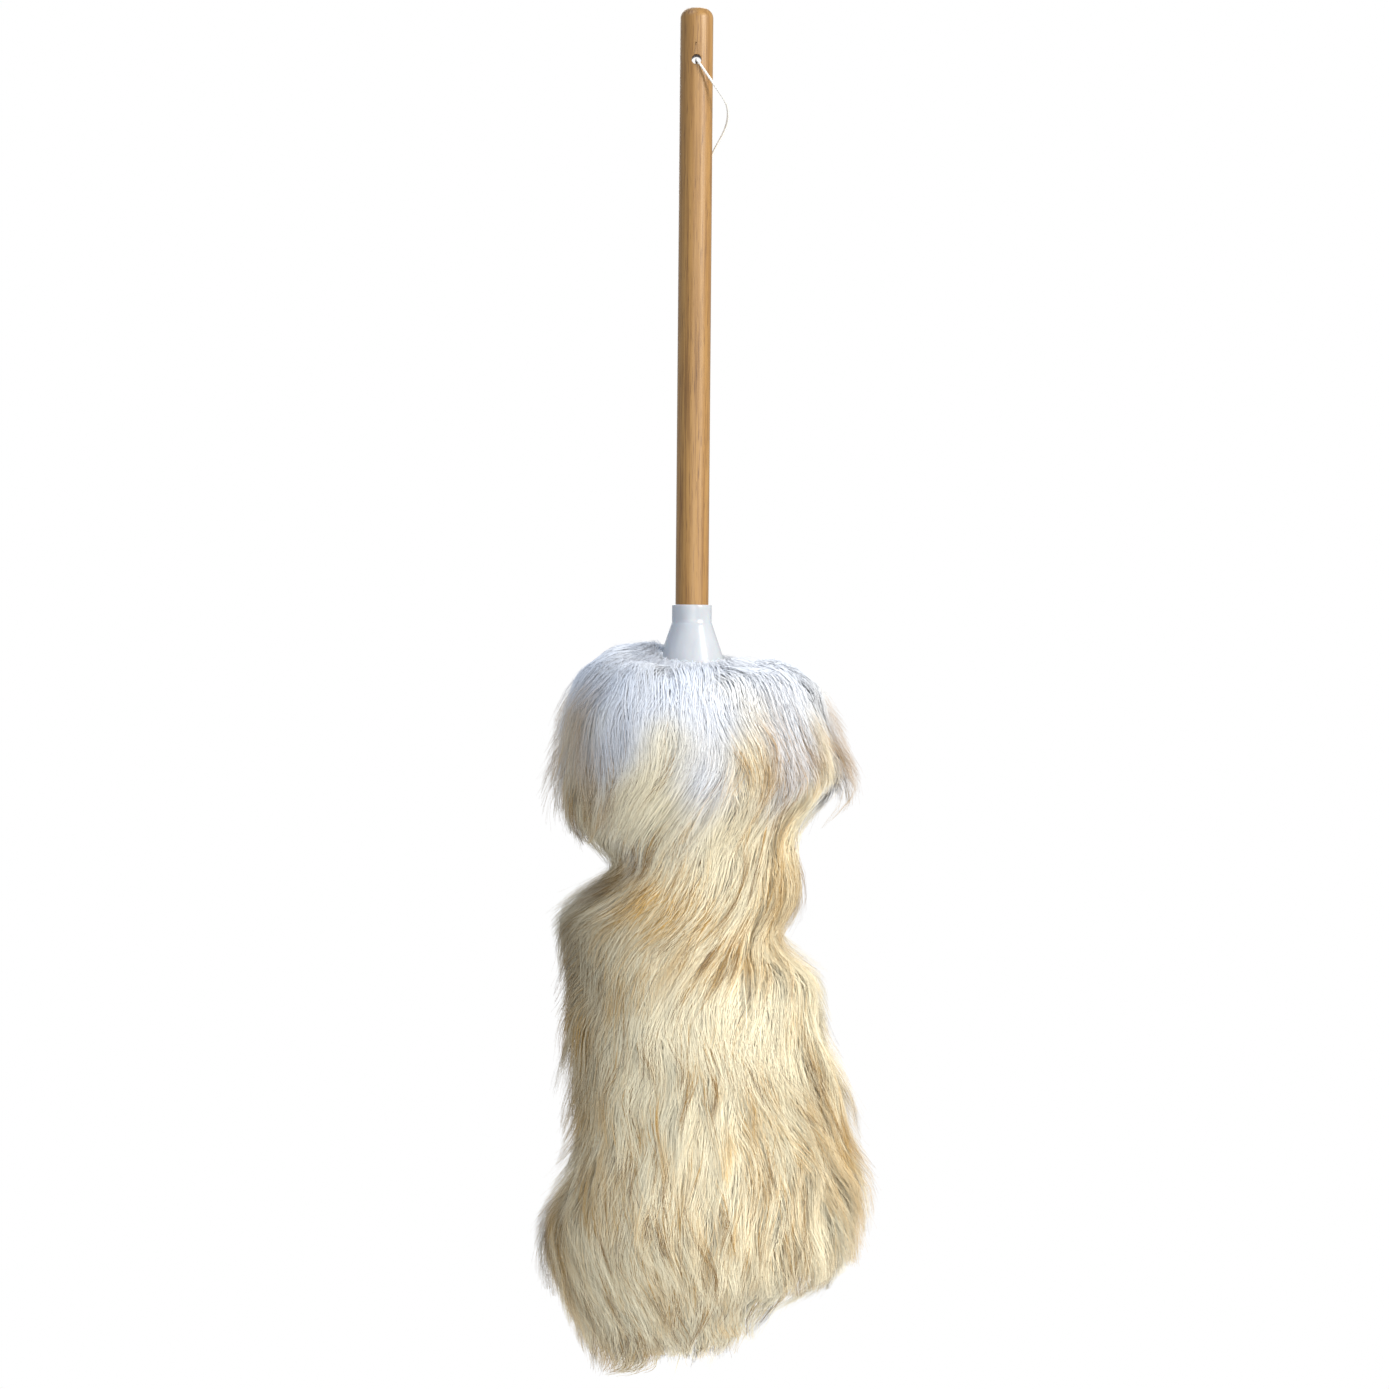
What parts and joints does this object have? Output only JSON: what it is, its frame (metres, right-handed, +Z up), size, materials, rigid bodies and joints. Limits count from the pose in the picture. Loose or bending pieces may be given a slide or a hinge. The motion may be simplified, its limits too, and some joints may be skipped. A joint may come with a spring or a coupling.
{
  "type": "lambswool duster",
  "caption": "Hand duster with a wooden dowel handle, a hanging cord, a flared white collar and a long-haired wool head wound in a spiral.",
  "frame": {"origin": "centre of the cross hole that holds the hanging cord, on the handle's axis", "axes": "+Z up the handle, away from the wool head; +Y along the cord's hole, towards the back where the loop hangs; +X towards the side that the cord turns round"},
  "size_m": [0.1602, 0.15, 0.6595],
  "materials": {
    "handle_wood": "satin",
    "cord": "matte",
    "collar_plastic": "gloss",
    "fixing_steel": "satin",
    "hide": "matte",
    "wool": "matte"
  },
  "bodies": {
    "duster": {"handle": "handle_wood", "collar": "collar_plastic", "collar_nail": "fixing_steel", "hide_strip": "hide", "wool_pile": "wool", "top_staples": "fixing_steel", "bottom_staples": "fixing_steel", "end_patch_hide": "hide", "end_patch_wool": "wool", "end_tack": "fixing_steel"},
    "cord": {"hanging_cord": "cord"}
  },
  "joints": [
    {"name": "cord_swing", "type": "hinge", "parent": "duster", "child": "cord", "pos_m": [0, 0, 0], "axis": [0, 1, 0], "range_deg": [-311, 12]}
  ]
}
